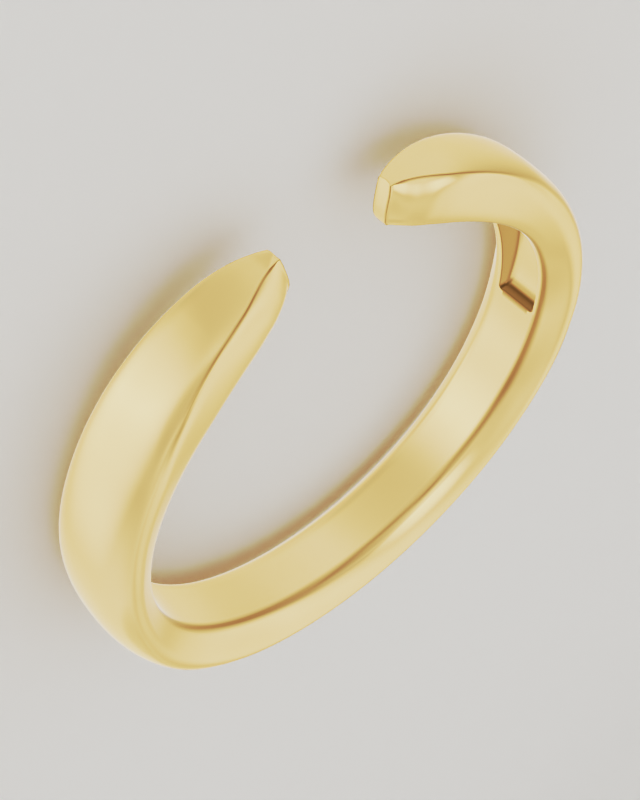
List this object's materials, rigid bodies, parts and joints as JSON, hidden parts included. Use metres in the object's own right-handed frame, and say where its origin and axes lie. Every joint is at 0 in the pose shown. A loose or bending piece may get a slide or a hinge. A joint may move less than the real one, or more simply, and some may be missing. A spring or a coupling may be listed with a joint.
{
  "type": "open cuff ring",
  "caption": "Open cuff finger ring in polished yellow gold, with two arms that taper to a narrow gap at the front and scooped hollows under them.",
  "frame": {"origin": "centre of the finger hole, at the middle of the band's width", "axes": "+Z along the finger hole towards the shaved side of the arms, +Y towards the back of the band, and the gap between the tips faces -Y"},
  "size_m": [0.0208, 0.0202, 0.004],
  "materials": {
    "polished_gold": "polished"
  },
  "bodies": {
    "root": {"cuff_band": "polished_gold"}
  },
  "joints": []
}
